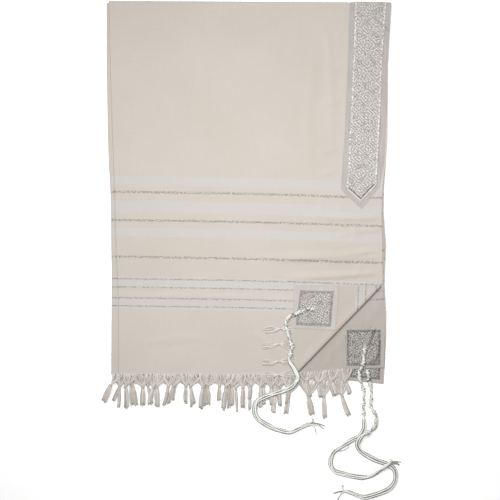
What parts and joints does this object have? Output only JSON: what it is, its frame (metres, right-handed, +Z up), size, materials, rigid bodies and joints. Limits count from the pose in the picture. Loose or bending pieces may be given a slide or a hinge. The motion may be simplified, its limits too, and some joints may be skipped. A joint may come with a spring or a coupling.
{
  "type": "tallit (Jewish prayer shawl), folded and laid flat",
  "caption": "Off-white wool tallit laid flat and folded in four, with silver stripes, brocade neckband and corner patches, knotted fringes and three long corner tassels.",
  "frame": {"origin": "on the resting face, in the middle of the folded cloth and its fringes seen from above, not counting the long corner tassels", "axes": "+X to the right along the folded top edge, +Y from the fringes towards the folded top edge, +Z up out of the face the cloth rests on"},
  "size_m": [0.7253, 1.2183, 0.0192],
  "materials": {
    "wool_cloth": "matt fine plain-woven wool",
    "ribbon": "soft satin ribbon",
    "brocade": "silver brocade with a metallic sheen",
    "fringe_yarn": "matt twisted wool yarn",
    "white_thread": "twisted white wool thread"
  },
  "bodies": {
    "root": {"front_leaf": "wool_cloth", "second_leaf": "wool_cloth", "under_leaves": "wool_cloth", "turned_corner": "wool_cloth", "neckband_ribbon": "ribbon", "corner_ribbon_1": "ribbon", "corner_ribbon_2": "ribbon", "corner_ribbon_3": "ribbon", "neckband_brocade": "brocade", "corner_brocade_1": "brocade", "corner_brocade_2": "brocade", "corner_brocade_3": "brocade", "eyelet_1": "white_thread", "eyelet_2": "white_thread", "fringe_front": "fringe_yarn", "fringe_second": "fringe_yarn", "fringe_third": "fringe_yarn", "fringe_turned": "fringe_yarn", "tzitzit_1": "white_thread", "tzitzit_2": "white_thread", "tzitzit_3": "white_thread"}
  },
  "joints": []
}
